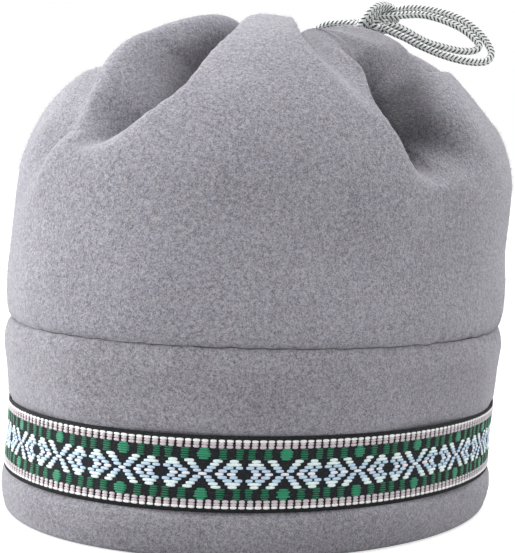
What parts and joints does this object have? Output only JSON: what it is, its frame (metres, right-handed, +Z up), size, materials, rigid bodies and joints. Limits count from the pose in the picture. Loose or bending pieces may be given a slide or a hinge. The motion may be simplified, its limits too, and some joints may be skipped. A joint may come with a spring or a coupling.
{
  "type": "gathered fleece hat",
  "caption": "Soft fleece hat with a doubled headband, a woven folk ribbon round it, and a tall crown gathered on top by an elastic drawcord tied in a loop.",
  "frame": {"origin": "on the surface the hat stands on, under the middle of its outline", "axes": "+Z up through the crown, Y along the length of the head with the front towards -Y, X across it"},
  "size_m": [0.1587, 0.1988, 0.1671],
  "materials": {
    "fleece": "matte brushed pile",
    "ribbon": "woven jacquard with a soft sheen",
    "cord": "braided, slightly shiny"
  },
  "bodies": {
    "root": {"crown": "fleece", "band": "fleece", "ribbon": "ribbon", "drawcord_ring": "cord", "drawcord_lead": "cord", "drawcord_return": "cord", "drawcord_loop_outer": "cord", "drawcord_loop_inner": "cord", "knot": "cord"}
  },
  "joints": []
}
